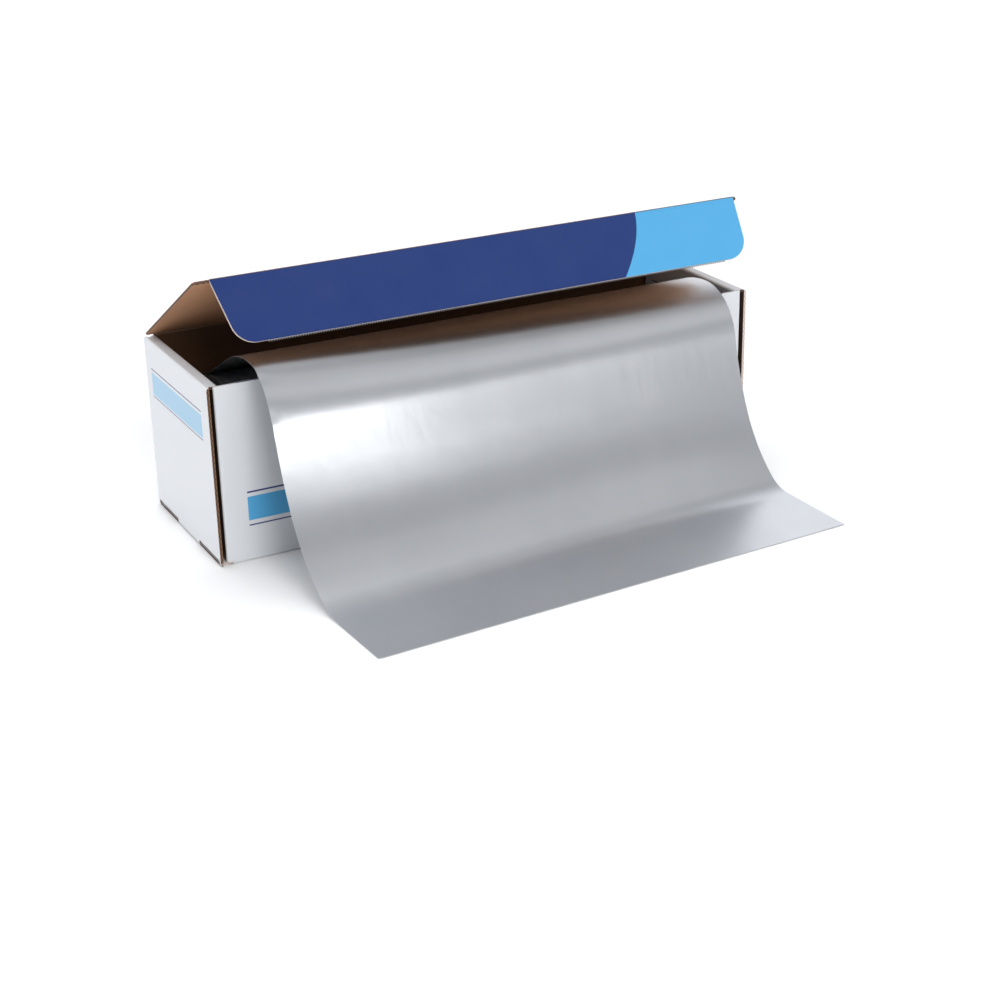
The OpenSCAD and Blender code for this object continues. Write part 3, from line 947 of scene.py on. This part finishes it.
        # over the rim the web draws back soon behind its left edge, and the foot stays straight
        crest = smooth(ramp(left[:, 3], *reversed(self.crest_span)))[:, None]
        share = across + self.draw_back * crest * across * (1 - across)
        mixed = left[:, None, :] * (1 - share)[..., None] + right[:, None, :] * share[..., None]
        forward, up, slope, gone = np.moveaxis(mixed, -1, 0)
        x = x_left[:, None] * (1 - across) + x_right[:, None] * across
        slope = np.radians(slope)
        lift = self.waves(gone, x, up)
        points = np.stack([x, -(forward - lift * np.sin(slope)), up + lift * np.cos(slope)],
                          -1) * MM
        web = np.stack([np.broadcast_to(across * self.width_mm, x.shape), gone], -1) * MM
        made = grid_mesh("foil_drawn", points, web)
        made.data.materials.append(self.finish.material())
        solid = made.modifiers.new("thickness", "SOLIDIFY")
        solid.thickness, solid.offset = self.thick_mm * MM, 0.0
        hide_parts("foil_sheet")
        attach(made, "carton")

    def waves(self, gone: np.ndarray, x: np.ndarray, height: np.ndarray) -> np.ndarray:
        """Unevenness of a web that hangs free, none where it touches roll or table.

        Args:
            gone: Length of web since the roll, in millimetres.
            x: Place along the roll, in millimetres.
            height: Height above the table, in millimetres.

        Returns:
            How far each point moves off the web, in millimetres.
        """
        free = ramp(gone, 30, 90) * ramp(height, 2, 42)
        slow = sum(r.height * np.sin(x / r.across + gone / r.along + r.phase)
                   for r in self.ripples)
        # short uneven flutter of the left edge, dying out within a few millimetres of it
        first, last = self.crest_span
        rim = ramp(gone, first, first + 12) * ramp(gone, last, last - 30)
        beat = np.sin(gone / 2.7 + 1.1 * np.sin(gone / 5))
        return free * slow + rim * (self.flutter_mm * np.exp((x[:, :1] - x) / 4) * beat)


@dataclass
class Crease:
    """The bent board of a fold, which fills the gap between two mitred panels.

    Its section is a rounded outer corner and a wedge between the mitred faces, whose inner
    corners are `inner_from` and `inner_to`, in Y and Z from the axis. It is drawn from one
    body's side to the other's.
    """

    name: str
    axis: Vector
    from_body: str
    to_body: str
    inner_from: Pair
    inner_to: Pair
    outer_turn: Pair
    x_mm: Pair
    dip_mm: float
    columns: int = 12
    slices: int = 90
    bead_mm: float = 0.215
    bead_points: int = 12
    wear: float = 0.18
    seed: int = 11
    # two shares of the gap
    grip: Pair = (0.3, 0.7)
    finish: CreaseFinish = field(default_factory=CreaseFinish)

    def build(self) -> None:
        """Builds the fold's filler."""
        rng = np.random.default_rng(self.seed)
        first, last = np.array(self.inner_from), np.array(self.inner_to)
        shares = np.linspace(0, 1, self.columns)
        inner = [first * (1 - t) + last * t for t in shares]
        inner = [p * (1 - self.dip_mm / np.linalg.norm(p) * math.sin(math.pi * t))
                 for p, t in zip(inner, shares)]
        turn = np.radians(np.linspace(*self.outer_turn, self.bead_points))
        bead = [np.array((math.cos(a), math.sin(a))) * self.bead_mm for a in turn]
        section = np.array(inner + bead[::-1])
        outer = np.arange(len(section)) >= len(inner)
        rough = np.convolve(rng.normal(size=self.slices + 4), np.ones(5) / 5, "valid")
        rings = np.empty((self.slices, len(section) + 1, 3))
        for ring, x, worn in zip(rings, np.linspace(*self.x_mm, self.slices),
                                 1 + self.wear * rough):
            flat = section * np.where(outer, worn, 1.0)[:, None]
            ring[:-1] = np.column_stack([np.full(len(section), x), flat])
            ring[-1] = ring[0]
        made = grid_mesh(self.name, rings * MM + np.array((0, self.axis.y, self.axis.z)))
        self.close(made)
        made.data.materials.append(self.finish.material())
        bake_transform(made)
        log.info("%s: %d points", self.name, len(made.data.vertices))

    @staticmethod
    def close(made: bpy.types.Object) -> None:
        """Welds the seam of the tube and closes both its ends.

        Args:
            made: The crease's object.
        """
        work = bmesh.new()
        work.from_mesh(made.data)
        bmesh.ops.remove_doubles(work, verts=work.verts, dist=1e-7)
        rims = [e for e in work.edges if e.is_boundary]
        bmesh.ops.holes_fill(work, edges=rims, sides=0)
        bmesh.ops.recalc_face_normals(work, faces=work.faces)
        work.to_mesh(made.data)
        work.free()


def turned(point: Pair, degrees: float) -> Pair:
    """A point in Y and Z, turned about the axis X."""
    a = math.radians(degrees)
    return (point[0] * math.cos(a) - point[1] * math.sin(a),
            point[0] * math.sin(a) + point[1] * math.cos(a))


@dataclass
class Carton:
    """The folded carton: its panels' finishes, its two working creases and its blade."""

    lid_turn: float = -30.0
    gap_mm: float = 0.212
    blade: BladeFinish = field(default_factory=BladeFinish)

    def build(self) -> None:
        """Finishes the panels, and adds the creases."""
        for side in Side:
            dress(side.value, BoardFinish(side).material())
            log.info("%s: coated board", side.value)
        dress("cutter_blade", self.blade.material())
        mitre = BOARD_T + self.gap_mm
        Crease("lid_crease", HINGE, from_body="carton", to_body="lid",
               inner_from=(-BOARD_T, -BOARD_T - self.gap_mm),
               inner_to=turned((-mitre, -BOARD_T), self.lid_turn),
               outer_turn=(-90, 180 + self.lid_turn), x_mm=(-166.9, 166.9), dip_mm=0.65).build()
        Crease("flap_crease", FOLD, from_body="lid", to_body="flap",
               inner_from=turned((mitre, -BOARD_T), self.lid_turn),
               inner_to=turned((BOARD_T, -BOARD_T - self.gap_mm), self.lid_turn),
               outer_turn=(self.lid_turn, 270 + self.lid_turn), x_mm=(-162.3, 168.3),
               dip_mm=0.05).build()


@dataclass
class Roll:
    """The roll of foil and the tube it is wound on."""

    foil: RollFinish = field(default_factory=RollFinish)
    tube: TubeFinish = field(default_factory=TubeFinish)

    def build(self) -> None:
        """Finishes the roll and its core."""
        dress("foil_roll", self.foil.material())
        dress("core", self.tube.material())
        log.info("foil_roll and core: finished")


@dataclass
class SoftBox:
    """One area light, with the point that it faces. Sizes in metres."""

    name: str
    at: Triple
    to: Triple
    size: Pair
    watts: float

    def build(self) -> None:
        """Adds the light, unseen by the camera itself."""
        data = bpy.data.lights.new(self.name, "AREA")
        data.shape, data.size, data.size_y = "RECTANGLE", *self.size
        data.energy = self.watts
        made = bpy.data.objects.new(self.name, data)
        made.location = self.at
        made.rotation_mode = "QUATERNION"
        aim = Vector(self.to) - Vector(self.at)
        made.rotation_quaternion = aim.to_track_quat("-Z", "Y")
        made.visible_camera = False
        bpy.context.scene.collection.objects.link(made)


@dataclass
class Sun:
    """One broad far light, with the direction it comes from. It gives diffuse light only."""

    name: str
    source: Triple
    degrees: float
    strength: float

    def build(self) -> None:
        """Adds the light, unseen by the camera and by the foil's gloss."""
        data = bpy.data.lights.new(self.name, "SUN")
        data.energy, data.angle = self.strength, math.radians(self.degrees)
        made = bpy.data.objects.new(self.name, data)
        made.rotation_mode = "QUATERNION"
        made.rotation_quaternion = Vector(self.source).to_track_quat("Z", "Y")
        made.visible_camera = made.visible_glossy = False
        bpy.context.scene.collection.objects.link(made)


@dataclass
class Studio:
    """Pale table top, soft boxes, surroundings and the camera of the photograph."""

    camera_at: Triple = (-0.475, -0.9621, 0.4378)
    look: Triple = (0.426858, 0.815824, -0.390158)
    upward: Triple = (0.199447, 0.335883, 0.920545)
    lens: float = 68.22
    sensor: float = 36.0
    clip: Pair = (0.02, 50.0)
    floor: str = "#FAFAFA"
    floor_half: float = 9.0
    floor_rows: Triple = (-0.75, 0.5, 12.0)
    suns: tuple[Sun, ...] = (
        Sun("overhead", (0.0, 0.15, 1.0), 70, 1.25),
        Sun("frontal", (-0.05, -1.0, 0.55), 24, 1.2),
    )
    boxes: tuple[SoftBox, ...] = (
        SoftBox("key_left", (-1.4, 0.12, 0.3), (0, 0, 0.1), (0.8, 0.5), 3.1),
        SoftBox("foil_glow", (0.07, -1.02, 0.12), (-0.05, 0, 0.1), (0.85, 0.28), 1.6),
        SoftBox("ceiling_front", (0.12, -0.205, 0.3), (0.12, -0.205, 0.0), (0.6, 0.21), 0.115),
    )
    # rise of a direction (sine of its elevation) and how bright the surroundings are there
    surroundings: tuple[Pair, ...] = (
        (-0.2, 0.4), (0.0, 0.42), (0.12, 0.46), (0.35, 0.46), (0.6, 0.4),
        (0.72, 0.34), (0.82, 0.22), (0.9, 0.26), (0.95, 0.65), (1.0, 0.75))
    # faint blue of daylight
    tint: Triple = (0.985, 1.0, 1.04)
    # how many times brighter the surroundings are right at the back
    back_gain: float = 2.3

    def build(self) -> None:
        """Builds the stage and the lights, and sets the scene's camera."""
        self.build_floor()
        for light in (*self.boxes, *self.suns):
            light.build()
        self.build_surroundings()
        self.build_camera()
        log.info("studio: %d lights", len(self.boxes) + len(self.suns))

    def build_floor(self) -> None:
        """A wide pale table top. It ends in front, out of the camera's view."""
        half = self.floor_half
        points = np.array([[(x, y, 0.0) for x in (-half, half)] for y in self.floor_rows])
        made = grid_mesh("floor", points)
        paper, m, shader = blank("paper_sweep")
        connect(m.tree, shader, {"Base Color": srgb(self.floor), "Roughness": 0.85})
        made.data.materials.append(paper)

    def build_surroundings(self) -> None:
        """A soft room that is darker overhead and brighter at the back."""
        world = bpy.data.worlds.new("studio")
        world.use_nodes = True
        tree = world.node_tree
        direction = add(tree, "ShaderNodeTexCoord").outputs["Generated"]
        axes = add(tree, "ShaderNodeSeparateXYZ", {0: direction}).outputs
        share = add(tree, MATH, {0: axes["Z"], 1: 0.5, 2: 0.5}, operation="MULTIPLY_ADD")
        ramp = add(tree, "ShaderNodeValToRGB", {"Fac": share})
        stops = ramp.color_ramp.elements
        while len(stops) < len(self.surroundings):
            stops.new(0.5)
        for stop, (rise, bright) in zip(stops, self.surroundings):
            stop.position = 0.5 + rise / 2
            stop.color = (*(bright * part for part in self.tint), 1)
        gain = add(tree, "ShaderNodeMapRange", {
            "Value": axes["Y"], "From Min": 0.0, "From Max": 0.6, "To Min": 1.0,
            "To Max": self.back_gain})
        connect(tree, tree.nodes["Background"], {"Color": ramp, "Strength": gain})
        bpy.context.scene.world = world
        bpy.context.scene.view_settings.view_transform = "Standard"

    def build_camera(self) -> None:
        """The camera of the photograph, as the scene's own."""
        data = bpy.data.cameras.new("camera")
        data.lens, data.sensor_width = self.lens, self.sensor
        data.clip_start, data.clip_end = self.clip
        camera = bpy.data.objects.new("camera", data)
        back, up = -Vector(self.look), Vector(self.upward)
        axes = Matrix((up.cross(back), up, back)).transposed()
        camera.matrix_world = Matrix.Translation(self.camera_at) @ axes.to_4x4()
        bpy.context.scene.collection.objects.link(camera)
        bpy.context.scene.camera = camera


def main() -> None:
    """Builds every piece in order."""
    logging.basicConfig(level=logging.INFO, format="%(message)s")
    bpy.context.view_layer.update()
    Carton().build()
    Roll().build()
    DrawnSheet().build()
    Studio().build()


if __name__ == "__main__":
    main()
